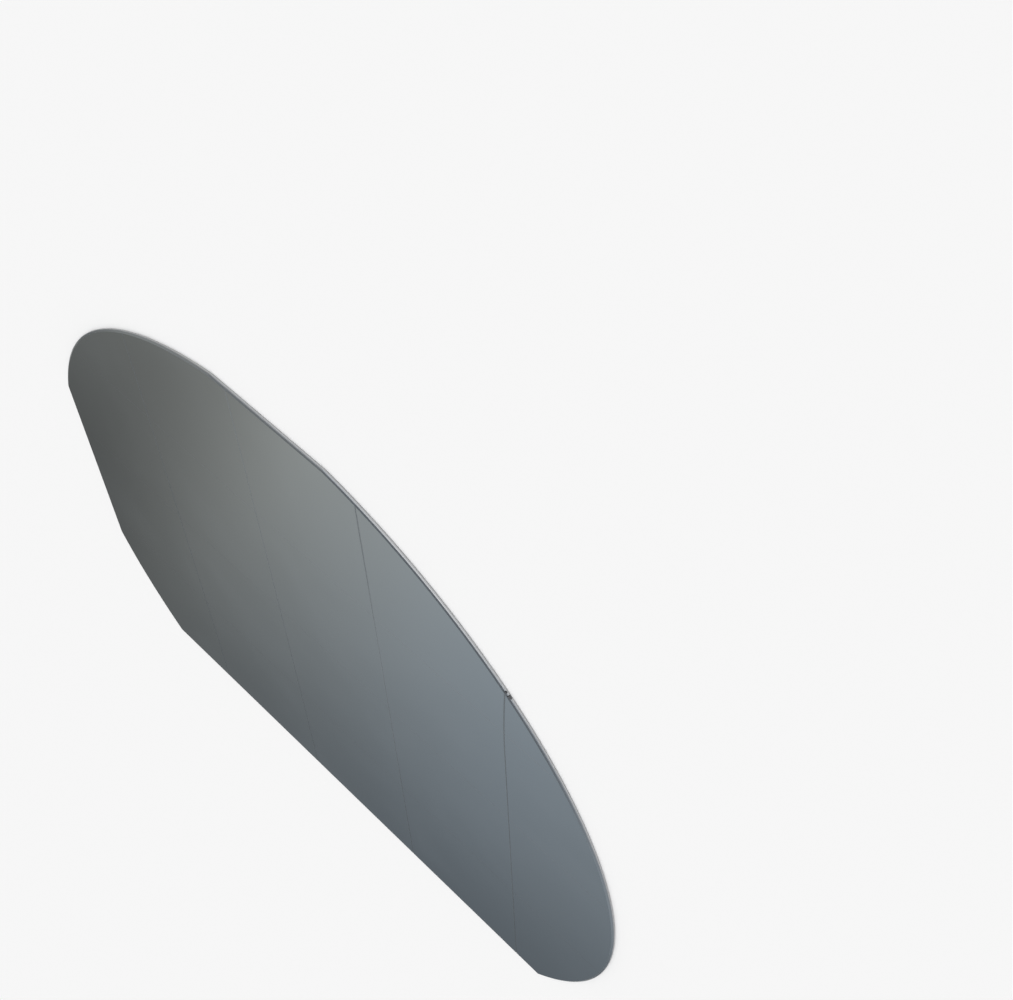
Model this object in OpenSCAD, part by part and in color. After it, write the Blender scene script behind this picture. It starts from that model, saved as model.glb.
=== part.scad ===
// Silicon carbide wafer: a 100 mm disc with a primary and a secondary flat and a
// ground, rounded edge. A grid is scribed into its polished face, the wafer has
// broken along one of the scribed lines, and its rim is chipped where another ends.
//
// Frame: the wafer lies flat on its back face, which is at z = 0, with the polished
// face up. The origin is on the axis of the whole disc. The primary flat faces -Y,
// the secondary flat faces -X, and the broken edge faces +X. Millimetres.

/* [Disc] */
// Diameter of the whole disc
wafer_d = 100; // [90:0.5:125]
// Thickness between the two faces
wafer_t = 0.5; // [0.35:0.01:0.65]

/* [Orientation flats] */
// Length of the primary flat
primary_flat_l = 32.5; // [22:0.5:40]
// Length of the secondary flat
secondary_flat_l = 18; // [10:0.5:24]

/* [Ground edge] */
// Width of the bevel on each face, measured in the face
bevel_w = 0.25; // [0.15:0.01:0.35]
// Drop of the bevel from the face
bevel_drop = 0.13; // [0.06:0.005:0.15]
// How far the rounded nose stands out between the two bevels
nose_out = 0.04; // [0.02:0.005:0.05]

/* [Scribed grid] */
// Distance between neighbouring scribed lines
scribe_pitch = 20; // [17:0.5:22]
// Place along X of the line that runs along Y and lies nearest the centre
scribe_x = -7.5; // [-9.5:0.1:-4]
// Place along Y of the line that runs along X and lies nearest the centre
scribe_y = -6.3; // [-9.5:0.1:-4]
// Width at the face of the grooves that run along X
scribe_w = 0.12; // [0.06:0.01:0.2]
// Depth of the grooves that run along X
scribe_depth = 0.05; // [0.02:0.01:0.1]
// Width at the face of the lighter grooves that run along Y
cross_scribe_w = 0.06; // [0.04:0.01:0.12]
// Depth of the lighter grooves that run along Y
cross_scribe_depth = 0.025; // [0.01:0.005:0.05]
// Outermost strip of the disc in which no line is scribed beside a flat
scribe_margin = 5; // [3:0.5:8]

/* [Broken edge] */
// How many scribed lines the break lies from the one at scribe_x
break_line = 2; // [1:1:2]

/* [Chipped rim] */
// How many scribed lines the chip lies from the one at scribe_y
chip_line = 2; // [1:1:2]
// Length of the chip along the rim
chip_l = 0.6; // [0.3:0.05:1.2]
// How far the chip reaches in from the rim, at its steep side
chip_depth = 0.25; // [0.1:0.05:0.35]
// Gap along the rim from the end of the scribed line to the steep side of the chip
chip_offset = 1.2; // [1.1:0.05:1.8]
// Gap along the rim from the end of the scribed line to the middle of the small pit
pit_offset = 0.75; // [0.4:0.05:0.8]
// Radius of the small pit
pit_r = 0.17; // [0.1:0.01:0.24]

/* [Hidden] */
// Fineness of round shapes
$fn = 180;
pit_fn = 48;
nose_steps = 3;
// How far a cutting tool runs past the faces
clear = 1;

wafer_r = wafer_d / 2;
primary_flat_x = sqrt(pow(wafer_r, 2) - pow(primary_flat_l / 2, 2));
secondary_flat_x = sqrt(pow(wafer_r, 2) - pow(secondary_flat_l / 2, 2));
primary_flat_dir = 270;
secondary_flat_dir = 180;
// The nose is an arc over the height that the bevels leave
nose_h = wafer_t - 2 * bevel_drop;
nose_r = (pow(nose_h / 2, 2) + pow(nose_out, 2)) / (2 * nose_out);
nose_angle = asin(nose_h / 2 / nose_r);
scribe_reach = ceil(wafer_d / scribe_pitch);
break_x = scribe_x + break_line * scribe_pitch;
// Direction of the rim point where the line beside the chip ends
chip_line_dir = 180 - asin((scribe_y + chip_line * scribe_pitch) / wafer_r);
degrees_per_mm = 180 / PI / wafer_r;

// Section of the wafer, in the plane of its axis: x runs out to the rim, y up
module edge_section(rim, inside = 0) {
    polygon([
        [inside, 0],
        [rim - bevel_w, 0],
        for (i = [-nose_steps : nose_steps])
            [
                rim - nose_r * (1 - cos(i * nose_angle / nose_steps)),
                wafer_t / 2 + nose_r * sin(i * nose_angle / nose_steps)
            ],
        [rim - bevel_w, wafer_t],
        [inside, wafer_t]
    ]);
}

// What is ground away outside a straight edge at the given distance from the axis
module flat_cutter(distance) {
    rotate([90, 0, 0])
        linear_extrude(wafer_d, center = true)
            difference() {
                translate([distance - bevel_w, -clear])
                    square([wafer_r - distance + bevel_w + clear, wafer_t + 2 * clear]);
                edge_section(distance, distance - 2 * bevel_w);
            }
}

// A V groove along X in the polished face, as long as the disc is wide
module scribe_cutter(width, depth) {
    slope = width / 2 / depth;
    rotate([90, 0, 90])
        linear_extrude(wafer_d + 2 * clear, center = true)
            polygon([
                [0, wafer_t - depth],
                [slope * (depth + clear), wafer_t + clear],
                [-slope * (depth + clear), wafer_t + clear]
            ]);
}

// The grooves of the grid, up to the one along which the wafer broke
module scribed_grid() {
    for (i = [-scribe_reach : scribe_reach]) {
        x = scribe_x + i * scribe_pitch;
        y = scribe_y + i * scribe_pitch;
        if (y > scribe_margin - primary_flat_x && y < wafer_r - scribe_margin)
            translate([0, y, 0]) scribe_cutter(scribe_w, scribe_depth);
        if (x > scribe_margin - secondary_flat_x && i <= break_line)
            translate([x, 0, 0]) rotate(90) scribe_cutter(cross_scribe_w, cross_scribe_depth);
    }
}

// The piece that broke away
module broken_off() {
    translate([break_x, -wafer_r - clear, -clear])
        cube([wafer_r - break_x + clear, wafer_d + 2 * clear, wafer_t + 2 * clear]);
}

// The flake and the small pit that left the rim: the chip is steep towards the line
module chip_cutter() {
    rotate(chip_line_dir - chip_offset * degrees_per_mm)
        translate([wafer_r, 0, -clear])
            linear_extrude(wafer_t + 2 * clear)
                polygon([
                    [-chip_depth, 0],
                    [clear, 0],
                    [clear, -chip_l * (chip_depth + clear) / chip_depth]
                ]);
    rotate(chip_line_dir - pit_offset * degrees_per_mm)
        translate([wafer_r, 0, wafer_t - bevel_drop])
            sphere(r = pit_r, $fn = pit_fn);
}

module wafer() {
    color([0.16, 0.17, 0.19])
        difference() {
            rotate_extrude() edge_section(wafer_r);
            rotate(primary_flat_dir) flat_cutter(primary_flat_x);
            rotate(secondary_flat_dir) flat_cutter(secondary_flat_x);
            scribed_grid();
            broken_off();
            chip_cutter();
        }
}

wafer();
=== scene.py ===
"""A silicon carbide wafer, lying flat with its polished face up."""
import math

import bmesh
import bpy
from mathutils import Matrix, Vector, noise


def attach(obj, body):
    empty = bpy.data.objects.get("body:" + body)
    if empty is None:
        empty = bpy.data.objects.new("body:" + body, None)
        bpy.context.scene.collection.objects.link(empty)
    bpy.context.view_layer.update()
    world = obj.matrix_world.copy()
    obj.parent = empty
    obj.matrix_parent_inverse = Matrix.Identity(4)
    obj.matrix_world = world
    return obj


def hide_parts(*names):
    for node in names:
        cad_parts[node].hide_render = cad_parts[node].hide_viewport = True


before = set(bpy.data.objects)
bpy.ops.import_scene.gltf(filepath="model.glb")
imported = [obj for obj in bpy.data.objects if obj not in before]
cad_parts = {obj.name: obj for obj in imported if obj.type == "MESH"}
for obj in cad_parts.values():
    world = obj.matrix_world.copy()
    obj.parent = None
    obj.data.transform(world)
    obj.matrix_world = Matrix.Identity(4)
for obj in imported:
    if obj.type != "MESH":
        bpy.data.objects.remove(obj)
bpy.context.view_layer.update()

# The wafer's own sizes, in millimetres
WAFER_R = 50.0
WAFER_T = 0.5
PRIMARY_FLAT_L = 32.5
SECONDARY_FLAT_L = 18.0
BEVEL_W = 0.25
BEVEL_DROP = 0.13
NOSE_OUT = 0.04
SCRIBE_PITCH = 20.0
SCRIBE_X = -7.5
SCRIBE_Y = -6.3
SCRIBE_W = 0.12
SCRIBE_DEPTH = 0.05
CROSS_SCRIBE_W = 0.06
CROSS_SCRIBE_DEPTH = 0.025
BRUISE_W = 0.2
BREAK_X = SCRIBE_X + 2 * SCRIBE_PITCH
CHIP_LINE_Y = SCRIBE_Y + 2 * SCRIBE_PITCH
# The line at the chip strays sideways from STRAY_FROM along X on, by STRAY at X = -WAFER_R
STRAY = 2.1
STRAY_FROM = -23.0
CHIP_L = 0.6
CHIP_DEPTH = 0.25
CHIP_OFFSET = 1.2
PIT_OFFSET = 0.75
PIT_R = 0.17

# Each flat: the direction that it faces and how far it lies from the axis
FLATS = (
    (math.radians(270), math.sqrt(WAFER_R**2 - (PRIMARY_FLAT_L / 2) ** 2)),
    (math.radians(180), math.sqrt(WAFER_R**2 - (SECONDARY_FLAT_L / 2) ** 2)),
)
MILLIMETRE = 0.001

# The material slots of the wafer
FACE, EDGE, BACK, BEVEL = range(4)


# --- Finishes ---------------------------------------------------------------


class Value:
    """A number that varies over a surface; an expression on it adds Math nodes."""

    def __init__(self, finish, socket):
        self.finish = finish
        self.socket = socket

    def math(self, operation, *terms):
        settings = {"operation": operation}
        return self.finish.node("ShaderNodeMath", settings, dict(enumerate(terms))).value(0)

    def __add__(self, other):
        return self.math("ADD", self, other)

    def __radd__(self, other):
        return self.math("ADD", other, self)

    def __sub__(self, other):
        return self.math("SUBTRACT", self, other)

    def __rsub__(self, other):
        return self.math("SUBTRACT", other, self)

    def __mul__(self, other):
        return self.math("MULTIPLY", self, other)

    def __rmul__(self, other):
        return self.math("MULTIPLY", other, self)

    def __truediv__(self, other):
        return self.math("DIVIDE", self, other)

    def size(self):
        """The number without its sign."""
        return self.math("ABSOLUTE", self)

    def at_least(self, low):
        return self.math("MAXIMUM", self, low)

    def ramp(self, low, high):
        """0 up to low, 1 from high, and a soft rise between them."""
        node = self.finish.node(
            "ShaderNodeMapRange",
            {"interpolation_type": "SMOOTHSTEP"},
            {"Value": self, "From Min": low, "From Max": high},
        )
        return node.value(0)


class Node:
    """One shader node."""

    def __init__(self, finish, node):
        self.finish = finish
        self.node = node

    def value(self, output=0):
        return Value(self.finish, self.node.outputs[output])


class Finish:
    """The node tree of a material or of the world."""

    def __init__(self, tree):
        self.tree = tree
        tree.nodes.clear()

    def node(self, kind, settings=None, sockets=None):
        """Adds a node: its settings first, then the values or links of its sockets."""
        made = self.tree.nodes.new(kind)
        for name, setting in (settings or {}).items():
            setattr(made, name, setting)
        for name, given in (sockets or {}).items():
            if isinstance(given, Value):
                self.tree.links.new(given.socket, made.inputs[name])
            else:
                made.inputs[name].default_value = given
        return Node(self, made)

    def place(self):
        """The spot on the wafer, in millimetres."""
        spot = self.node("ShaderNodeTexCoord").value("Object")
        return self.node(
            "ShaderNodeVectorMath", {"operation": "SCALE"}, {0: spot, "Scale": 1 / MILLIMETRE}
        ).value(0)

    def stretched(self, spot, factors):
        return self.node(
            "ShaderNodeVectorMath", {"operation": "MULTIPLY"}, {0: spot, 1: factors}
        ).value(0)

    def grain(self, spot, scale, detail=2.0, roughness=0.5, distortion=0.0):
        """Noise between 0 and 1; scale counts its lumps in a millimetre."""
        sockets = {
            "Vector": spot,
            "Scale": scale,
            "Detail": detail,
            "Roughness": roughness,
            "Distortion": distortion,
        }
        return self.node("ShaderNodeTexNoise", {}, sockets).value(0)

    def specks(self, spot, scale, size):
        """1 on dots of the given radius, in millimetres, scattered scale to a millimetre."""
        far = self.node(
            "ShaderNodeTexVoronoi", {"feature": "F1"}, {"Vector": spot, "Scale": scale}
        ).value("Distance")
        return 1 - far.ramp(size * scale * 0.6, size * scale)

    def tint(self, mask, low, high):
        """The colour low where mask is 0, and high where it is 1."""
        sockets = {0: mask, 6: (*low, 1.0), 7: (*high, 1.0)}
        return self.node("ShaderNodeMix", {"data_type": "RGBA"}, sockets).value(2)

    def tint_over(self, mask, under, high):
        """A varying colour where mask is 0, and the colour high where it is 1."""
        sockets = {0: mask, 6: under, 7: (*high, 1.0)}
        return self.node("ShaderNodeMix", {"data_type": "RGBA"}, sockets).value(2)

    def relief(self, height, distance, strength=1.0):
        """Bumps of the given height in millimetres."""
        sockets = {"Height": height, "Distance": distance * MILLIMETRE, "Strength": strength}
        return self.node("ShaderNodeBump", {}, sockets).value(0)

    def carbide(self, colour, roughness, relief=None, gloss=0.5):
        """Silicon carbide: its strong gloss comes from its high refractive index."""
        sockets = {
            "Base Color": colour,
            "Roughness": roughness,
            "IOR": 2.65,
            "Specular IOR Level": gloss,
        }
        if relief:
            sockets["Normal"] = relief
        return self.node("ShaderNodeBsdfPrincipled", {}, sockets).value(0)

    def surface(self, shader):
        self.node("ShaderNodeOutputMaterial", {}, {"Surface": shader})


def finish_named(name):
    """A new material and its empty node tree."""
    material = bpy.data.materials.new(name)
    material.use_nodes = True
    return material, Finish(material.node_tree)


def scribed_marks(f, spot):
    """Where the face is bruised beside the two lines that were pressed hardest."""
    parts = f.node("ShaderNodeSeparateXYZ", {}, {0: spot})
    x, y = parts.value("X"), parts.value("Y")
    run = (STRAY_FROM - x).at_least(0.0) / (WAFER_R + STRAY_FROM)
    marks = []
    for from_line, fades_from, fades_to in (
        (y - run * run * STRAY - CHIP_LINE_Y, -26.0, -6.0),
        (y - CHIP_LINE_Y + SCRIBE_PITCH, -42.0, -18.0),
    ):
        beside = 1 - from_line.size().ramp(SCRIBE_W / 2, SCRIBE_W / 2 + BRUISE_W)
        marks.append(beside * (1 - x.ramp(fades_from, fades_to)))
    return marks[0].at_least(marks[1])


def polished_face():
    """Chemically polished: a dark mirror with a trace of haze and a few grains of dust."""
    material, f = finish_named("polished_face")
    spot = f.place()
    haze = f.grain(spot, 0.045, 3.0, 0.55, 0.6).ramp(0.35, 0.7)
    wipe = f.grain(f.stretched(spot, (0.05, 0.9, 1.0)), 0.6, 2.0, 0.6).ramp(0.45, 0.75)
    dust = f.specks(spot, 0.16, 0.05) * f.grain(spot, 0.5, 1.0).ramp(0.5, 0.6)
    bruise = scribed_marks(f, spot)
    colour = f.tint(haze, (0.020, 0.023, 0.028), (0.030, 0.034, 0.040))
    colour = f.tint_over(dust, colour, (0.45, 0.46, 0.47))
    roughness = 0.035 + haze * 0.03 + wipe * 0.015 + dust * 0.4 + bruise * 0.2
    f.surface(f.carbide(colour, roughness))
    return material


def ground_edge():
    """Ground with a fine diamond wheel: matt and pale, with faint marks along the rim."""
    material, f = finish_named("ground_edge")
    spot = f.place()
    grit = f.grain(spot, 9.0, 3.0, 0.6)
    patches = f.grain(spot, 0.35, 2.0, 0.5).ramp(0.3, 0.7)
    colour = f.tint(grit.ramp(0.3, 0.75), (0.08, 0.085, 0.093), (0.125, 0.132, 0.142))
    roughness = 0.31 + patches * 0.06 + grit * 0.08
    f.surface(f.carbide(colour, roughness, f.relief(grit, 0.012, 0.5), gloss=1.0))
    return material


def polished_bevel():
    """The bevel next to the polished face: polished with it, but less finely."""
    material, f = finish_named("polished_bevel")
    spot = f.place()
    grit = f.grain(spot, 8.0, 3.0, 0.6)
    colour = f.tint(grit.ramp(0.35, 0.75), (0.055, 0.061, 0.070), (0.095, 0.104, 0.116))
    f.surface(
        f.carbide(colour, roughness=0.22 + grit * 0.16, relief=f.relief(grit, 0.008, 0.4))
    )
    return material


def painted_face_reflection(f, spot):
    """Painted reflection: how much light the face around a groove reflects, from the break up to
    the far rim.
    """
    parts = f.node("ShaderNodeSeparateXYZ", {}, {0: spot})
    x, y = parts.value("X"), parts.value("Y")
    # Painted reflection: the face's reflected light, less towards the break and towards low Y
    painted_reflection = (1 - x.ramp(-48.0, 32.0)) * y.ramp(-48.0, 14.0)
    return x, y, painted_reflection


def scribed_groove():
    """Crushed by the scriber: dull and dark, and fainter the further it runs. Its colour also
    carries a painted reflection of the face around it.
    """
    material, f = finish_named("scribed_groove")
    spot = f.place()
    x, y, painted_reflection = painted_face_reflection(f, spot)
    faint = (x - y.ramp(15.0, 30.0) * 26.0).ramp(-42.0, -14.0)
    light = 1 - y.ramp(0.0, 8.0) * 0.9
    pressed = 1 - (1 - faint) * (1 - light)
    crushed = f.grain(spot, 10.0, 3.0, 0.7)
    # Own dark tone of the crushed groove, raised by the painted reflection of the face around it
    level = (0.085 + painted_reflection * 0.13) * (0.64 + pressed * 0.3) * (0.85 + crushed * 0.3)
    colour = f.tint(level, (0.0, 0.0, 0.0), (0.93, 1.0, 1.06))
    f.surface(f.carbide(colour, 0.6, gloss=0.08))
    return material


def light_groove():
    """Only just cut into the face: its colour is painted to follow the light the face around it
    reflects, so it stays nearly as light as the face.
    """
    material, f = finish_named("light_groove")
    spot = f.place()
    painted_reflection = painted_face_reflection(f, spot)[2]
    # Painted reflection: the colour rises with the light the face around the groove reflects
    level = (0.068 + painted_reflection * 0.11) * (0.85 + f.grain(spot, 10.0, 3.0, 0.7) * 0.3)
    colour = f.tint(level, (0.0, 0.0, 0.0), (0.93, 1.0, 1.06))
    f.surface(f.carbide(colour, 0.6, gloss=0.08))
    return material


def fresh_fracture():
    """Broken crystal: glassy, with fine ribs that fan down from the scribed line."""
    material, f = finish_named("fresh_fracture")
    spot = f.place()
    ribs = f.grain(f.stretched(spot, (1.0, 5.0, 1.2)), 1.6, 3.0, 0.6, 0.8)
    shells = f.grain(spot, 2.2, 2.0, 0.5, 1.5)
    colour = f.tint(ribs.ramp(0.3, 0.75), (0.012, 0.013, 0.015), (0.045, 0.048, 0.053))
    height = ribs * 0.7 + shells * 0.5
    f.surface(f.carbide(colour, 0.14 + ribs * 0.16, f.relief(height, 0.03, 0.7), gloss=0.2))
    return material


def lapped_back():
    """Lapped flat: a finely matt grey."""
    material, f = finish_named("lapped_back")
    spot = f.place()
    grit = f.grain(spot, 7.0, 3.0, 0.6)
    clouds = f.grain(spot, 0.06, 2.0, 0.5).ramp(0.35, 0.65)
    colour = f.tint(clouds * 0.5 + grit * 0.5, (0.085, 0.09, 0.096), (0.14, 0.147, 0.156))
    roughness = 0.38 + grit * 0.14
    f.surface(f.carbide(colour, roughness, f.relief(grit, 0.008, 0.5)))
    return material


# --- The wafer --------------------------------------------------------------


def outline_reach(angle, inset):
    """Distance from the axis to the wafer's outline, drawn in by inset."""
    reach = WAFER_R - inset
    for facing, distance in FLATS:
        lean = math.cos(angle - facing)
        if lean > 0.5:
            reach = min(reach, (distance - inset) / lean)
    return reach


def outline_angles():
    """Directions round the rim, with one at each corner of the flats."""
    steps = 900
    angles = [2 * math.pi * i / steps for i in range(steps)]
    for facing, distance in FLATS:
        half = math.acos(distance / WAFER_R)
        angles += [facing - half, facing + half]
    return sorted(angles)


def edge_profile():
    """The ground edge from the polished face down to the back: (inset, height) points."""
    nose_half = WAFER_T / 2 - BEVEL_DROP
    nose_r = (nose_half**2 + NOSE_OUT**2) / (2 * NOSE_OUT)
    spread = math.asin(nose_half / nose_r)
    arc = []
    steps = 10
    for i in range(steps + 1):
        turn = spread * (1 - 2 * i / steps)
        arc.append((nose_r * (1 - math.cos(turn)), WAFER_T / 2 + nose_r * math.sin(turn)))
    return [(BEVEL_W, WAFER_T), *arc, (BEVEL_W, 0.0)]


def mesh_object(name, points, faces, materials, slots=None):
    """An object with these faces; slots gives the material slot of each face."""
    mesh = bpy.data.meshes.new(name)
    mesh.from_pydata([tuple(p) for p in points], [], faces)
    for material in materials:
        mesh.materials.append(material)
    if slots:
        mesh.polygons.foreach_set("material_index", slots)
    mesh.update()
    piece = bpy.data.objects.new(name, mesh)
    bpy.context.scene.collection.objects.link(piece)
    return piece


def whole_disc(materials):
    """The disc as it was before it was scribed: both flats and the ground edge."""
    angles = outline_angles()
    profile = edge_profile()
    count = len(angles)
    points, faces, slots = [], [], []
    for inset, height in profile:
        for angle in angles:
            reach = outline_reach(angle, inset)
            points.append((reach * math.cos(angle), reach * math.sin(angle), height))
    for ring in range(len(profile) - 1):
        for i in range(count):
            j = (i + 1) % count
            upper, lower = ring * count, (ring + 1) * count
            faces.append((upper + i, lower + i, lower + j, upper + j))
            slots.append(EDGE if ring else BEVEL)
    faces.append(tuple(range(count)))
    slots.append(FACE)
    last = (len(profile) - 1) * count
    faces.append(tuple(last + i for i in reversed(range(count))))
    slots.append(BACK)
    return mesh_object("wafer_blank", points, faces, materials, slots)


def swept(sections):
    """Points and faces of a closed bar through sections of equally many points."""
    size = len(sections[0])
    points = [p for section in sections for p in section]
    faces = [tuple(reversed(range(size)))]
    for s in range(len(sections) - 1):
        for i in range(size):
            j = (i + 1) % size
            faces.append((s * size + i, s * size + j, (s + 1) * size + j, (s + 1) * size + i))
    faces.append(tuple((len(sections) - 1) * size + i for i in range(size)))
    return points, faces


def joined(parts):
    """Several (points, faces) shapes as one."""
    points, faces = [], []
    for part_points, part_faces in parts:
        start = len(points)
        points += part_points
        faces += [tuple(start + i for i in face) for face in part_faces]
    return points, faces


def groove(place, along_x, width, depth, stray=0.0):
    """A V groove in the polished face. It strays sideways where it starts at the rim."""
    above = 0.3
    reach = WAFER_R + 2
    steps = 220
    sections = []
    for i in range(steps + 1):
        run = -reach + 2 * reach * i / steps
        uneven = noise.noise(Vector((run * 0.9, place, 5.0)))
        slope = width / 2 * (1 + 0.12 * uneven) / depth
        aside = place + 0.004 * uneven
        if run < STRAY_FROM:
            aside += stray * ((run - STRAY_FROM) / (WAFER_R + STRAY_FROM)) ** 2
        section = []
        for across, height in (
            (0.0, WAFER_T - depth),
            (slope * (depth + above), WAFER_T + above),
            (-slope * (depth + above), WAFER_T + above),
        ):
            if along_x:
                section.append((run, aside + across, height))
            else:
                section.append((aside - across, run, height))
        sections.append(section)
    return swept(sections)


def broken_away():
    """What is missing beyond the break. Its face is uneven, as cleaved crystal is."""
    reach = WAFER_R + 2
    heights = (-0.4, 0.0, 0.1, 0.2, 0.3, 0.4, 0.47, WAFER_T, 0.9)
    steps = 700
    sections = []
    for i in range(steps + 1):
        run = -reach + 2 * reach * i / steps
        section = []
        for height in heights:
            wave = noise.noise(Vector((run * 0.25, height * 1.5, 1.0)))
            rib = noise.noise(Vector((run * 2.2, height * 6.0, 7.0)))
            section.append((BREAK_X - 0.012 - 0.008 * wave - 0.012 * abs(rib), run, height))
        section.append((WAFER_R + 4, run, heights[-1]))
        section.append((WAFER_R + 4, run, heights[0]))
        sections.append(section)
    return swept(sections)


def rim_spot(direction, inset, along, height):
    """A point near the rim: inset from it, and along it from the given direction."""
    outward = Vector((math.cos(direction), math.sin(direction), 0.0))
    sideways = Vector((-outward.y, outward.x, 0.0))
    return outward * (WAFER_R - inset) + sideways * along + Vector((0.0, 0.0, height))


def flake_and_pit():
    """The flake that left the rim, and the small shell-shaped pit beside it."""
    line_direction = math.pi - math.asin(CHIP_LINE_Y / WAFER_R)
    chip_direction = line_direction - CHIP_OFFSET / WAFER_R
    pit_direction = line_direction - PIT_OFFSET / WAFER_R
    sections = []
    for height, depth, length in (
        (-0.3, 0.9, 1.3),
        (0.03, 0.92, 1.12),
        (0.18, 1.0, 0.94),
        (0.33, 0.95, 1.0),
        (0.43, 0.86, 0.9),
        (0.8, 0.8, 0.8),
    ):
        deep = CHIP_DEPTH * depth
        long = CHIP_L * length
        sections.append(
            [
                rim_spot(chip_direction, deep, -0.02 * depth, height),
                rim_spot(chip_direction, deep * 0.72, -0.14 * long, height),
                rim_spot(chip_direction, deep * 0.3, -0.55 * long, height),
                rim_spot(chip_direction, -0.02, -long, height),
                rim_spot(chip_direction, -0.5, -1.6 * long, height),
                rim_spot(chip_direction, -0.5, 0.03, height),
                rim_spot(chip_direction, 0.05, 0.02, height),
            ]
        )
    flake = swept([[p for p in reversed(section)] for section in sections])
    ball = bmesh.new()
    bmesh.ops.create_icosphere(ball, subdivisions=4, radius=PIT_R)
    for vertex in ball.verts:
        vertex.co *= 1 + 0.12 * noise.noise(vertex.co * 9.0)
    shift = rim_spot(pit_direction, 0.0, 0.0, WAFER_T - BEVEL_DROP)
    pit = (
        [v.co + shift for v in ball.verts],
        [tuple(v.index for v in face.verts) for face in ball.faces],
    )
    ball.free()
    return joined([flake, pit])


def cut(piece, name, shape, material):
    """Cuts a closed shape out of the piece; the new walls take the given finish."""
    tool = mesh_object(name, *shape, [material])
    check = bmesh.new()
    check.from_mesh(tool.data)
    bmesh.ops.recalc_face_normals(check, faces=check.faces)
    check.to_mesh(tool.data)
    check.free()
    boolean = piece.modifiers.new(name, "BOOLEAN")
    boolean.operation = "DIFFERENCE"
    boolean.solver = "EXACT"
    boolean.material_mode = "TRANSFER"
    boolean.object = tool
    bpy.context.view_layer.update()
    result = bpy.data.meshes.new_from_object(
        piece.evaluated_get(bpy.context.evaluated_depsgraph_get())
    )
    piece.modifiers.clear()
    piece.data = result
    bpy.data.objects.remove(tool)


def merge_slivers(mesh):
    """Closes the hair-thin faces that cuts leave where they cross."""
    shape = bmesh.new()
    shape.from_mesh(mesh)
    bmesh.ops.remove_doubles(shape, verts=shape.verts, dist=0.0003)
    shape.to_mesh(mesh)
    shape.free()


def build_wafer():
    """The disc, and then what was cut into it, broken off and chipped out of it."""
    wafer = whole_disc([polished_face(), ground_edge(), lapped_back(), polished_bevel()])
    fracture = fresh_fracture()
    lines_along_x = [
        groove(SCRIBE_Y - SCRIBE_PITCH, True, SCRIBE_W, SCRIBE_DEPTH),
        groove(SCRIBE_Y, True, SCRIBE_W, SCRIBE_DEPTH),
        groove(SCRIBE_Y + SCRIBE_PITCH, True, SCRIBE_W, SCRIBE_DEPTH),
        groove(CHIP_LINE_Y, True, SCRIBE_W, SCRIBE_DEPTH, STRAY),
    ]
    lines_along_y = [
        groove(SCRIBE_X + i * SCRIBE_PITCH, False, CROSS_SCRIBE_W, CROSS_SCRIBE_DEPTH)
        for i in (-1, 0, 1, 2)
    ]
    cut(wafer, "lines_along_x", joined(lines_along_x), scribed_groove())
    cut(wafer, "lines_along_y", joined(lines_along_y), light_groove())
    cut(wafer, "missing_piece", broken_away(), fracture)
    cut(wafer, "flake_and_pit", flake_and_pit(), fracture)
    mesh = wafer.data
    merge_slivers(mesh)
    mesh.transform(Matrix.Scale(MILLIMETRE, 4))
    mesh.polygons.foreach_set("use_smooth", [True] * len(mesh.polygons))
    mesh.set_sharp_from_angle(angle=math.radians(16))
    wafer.name = "wafer_disc"
    mesh.name = "wafer_disc"
    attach(wafer, "root")
    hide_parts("wafer")


# --- Studio -----------------------------------------------------------------

# How white the floor is, and the sky where the camera sees it
PALE = 0.93


def pale_floor():
    """Metres wide, and a hair below the back face."""
    half = 8.0
    height = -0.00002
    corners = [(-half, -half), (half, -half), (half, half), (-half, half)]
    material, f = finish_named("pale_floor")
    colour = (PALE, PALE, PALE, 1.0)
    f.surface(f.node("ShaderNodeBsdfDiffuse", {}, {"Color": colour}).value(0))
    points = [(x, y, height) for x, y in corners]
    floor = mesh_object("pale_floor", points, [(0, 1, 2, 3)], [material])


def towards(azimuth, elevation):
    """A direction from the wafer, in degrees."""
    azimuth, elevation = math.radians(azimuth), math.radians(elevation)
    return Vector(
        (
            math.cos(elevation) * math.cos(azimuth),
            math.cos(elevation) * math.sin(azimuth),
            math.sin(elevation),
        )
    )


def soft_sun():
    """A broad soft light from the near side. The sky below carries its reflection."""
    lamp = bpy.data.lights.new("soft_sun", "SUN")
    lamp.energy = 2.85
    lamp.angle = math.radians(40)
    sun = bpy.data.objects.new("soft_sun", lamp)
    sun.rotation_euler = towards(153, 26).to_track_quat("Z", "Y").to_euler()
    sun.visible_glossy = False
    bpy.context.scene.collection.objects.link(sun)


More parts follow.
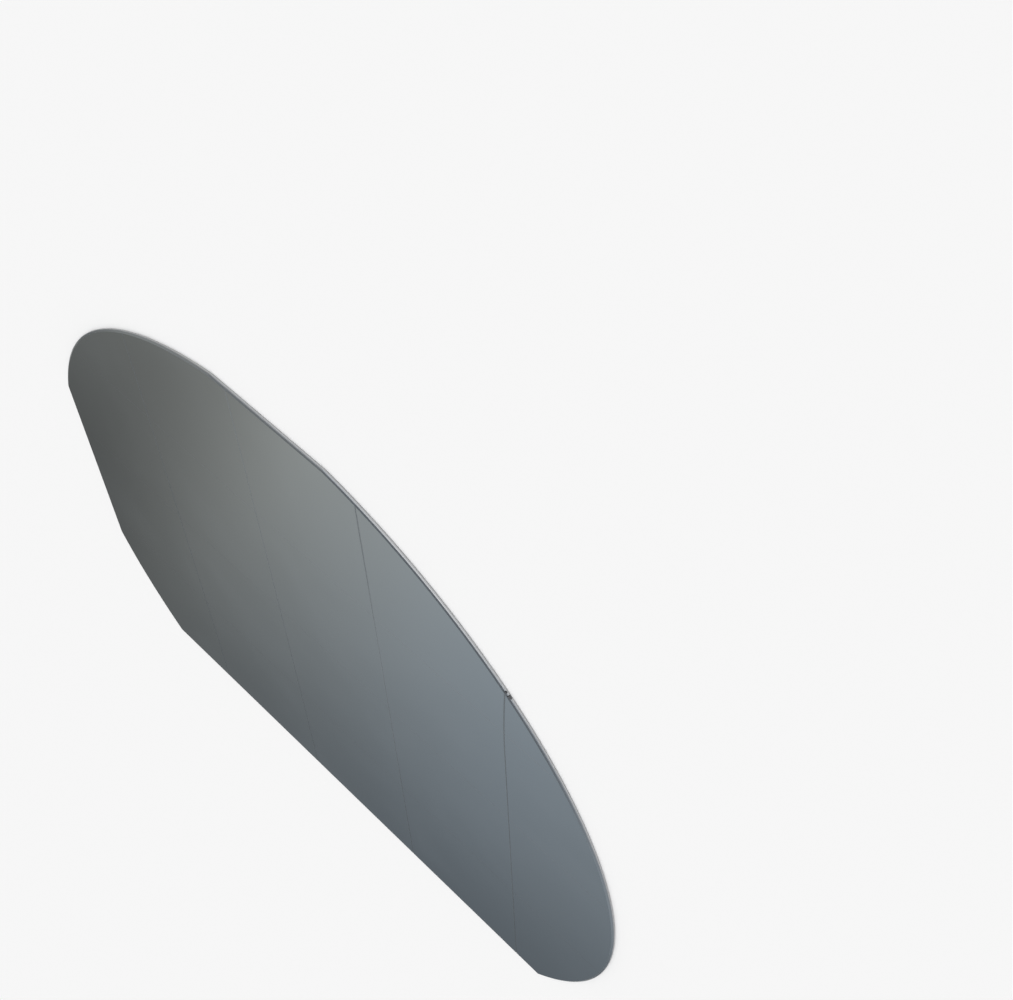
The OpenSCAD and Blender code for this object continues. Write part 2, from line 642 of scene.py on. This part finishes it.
def studio_sky():
    """Pale and even, but the gloss sees it darken towards the horizon, the top and the sides."""
    world = bpy.data.worlds.new("studio_sky")
    bpy.context.scene.world = world
    world.use_nodes = True
    f = Finish(world.node_tree)
    direction = f.node("ShaderNodeTexCoord").value("Generated")
    parts = f.node("ShaderNodeSeparateXYZ", {}, {0: direction})
    x, y, z = parts.value("X"), parts.value("Y"), parts.value("Z")
    path = f.node("ShaderNodeLightPath")
    seen, glossy = path.value("Is Camera Ray"), path.value("Is Glossy Ray")
    # From the horizon to the top
    rise = z.ramp(math.sin(math.radians(10)), math.sin(math.radians(23.3)))
    overhead = z.ramp(math.sin(math.radians(38)), math.sin(math.radians(64)))
    # Round the horizon, from the primary flat's side to the side across from it
    to_flat = -1.0 * y
    dim_side = to_flat.ramp(0.523, 0.624)
    far_side = 1 - to_flat.ramp(0.096, 0.53)
    gloss = (0.17 + rise * 0.83) * (1 - dim_side * 0.4) * (1 - far_side * 0.33)
    gloss = gloss * (1 - overhead * 0.65)
    # The lamp's soft reflection, and the darker sky beside it that makes the rim stand out
    lamp = towards(154, 20)
    to_lamp = x * lamp.x + y * lamp.y + z * lamp.z
    near_lamp = to_lamp.ramp(0.75, 0.95)
    beside_lamp = 1 - (to_lamp - 0.3).size().ramp(0.25, 0.45)
    gloss = gloss * (1 - beside_lamp * 0.4) + near_lamp * 1.05
    strength = seen * PALE + (1 - seen) * (glossy * gloss + (1 - glossy) * 0.6)
    cool = 1 - to_flat.ramp(0.317, 0.615)
    tone = f.tint(cool, (0.955, 1.0, 0.945), (0.845, 1.0, 1.12))
    colour = f.tint_over((1 - glossy).at_least(near_lamp), tone, (1.0, 1.0, 1.0))
    background = f.node(
        "ShaderNodeBackground", {}, {"Color": colour, "Strength": strength}
    ).value(0)
    f.node("ShaderNodeOutputWorld", {}, {"Surface": background})


def camera():
    """Low over the polished face, and rolled so that the secondary flat lies up and left."""
    lens = bpy.data.cameras.new("camera")
    lens.sensor_width = 36.0
    lens.lens = 59.0
    lens.clip_start = 0.01
    view = bpy.data.objects.new("camera", lens)
    stand = Vector((-178.54, 95.04, 54.9)) * MILLIMETRE
    aim = Vector((-69.0, 35.33, 0.15)) * MILLIMETRE
    up = Vector((-0.594, -0.562, -0.5755))
    ahead = (aim - stand).normalized()
    right = ahead.cross(up).normalized()
    up = right.cross(ahead)
    view.matrix_world = Matrix(
        (
            (right.x, up.x, -ahead.x, stand.x),
            (right.y, up.y, -ahead.y, stand.y),
            (right.z, up.z, -ahead.z, stand.z),
            (0.0, 0.0, 0.0, 1.0),
        )
    )
    bpy.context.scene.collection.objects.link(view)
    bpy.context.scene.camera = view


build_wafer()
pale_floor()
soft_sun()
studio_sky()
camera()
bpy.context.scene.view_settings.view_transform = "Standard"
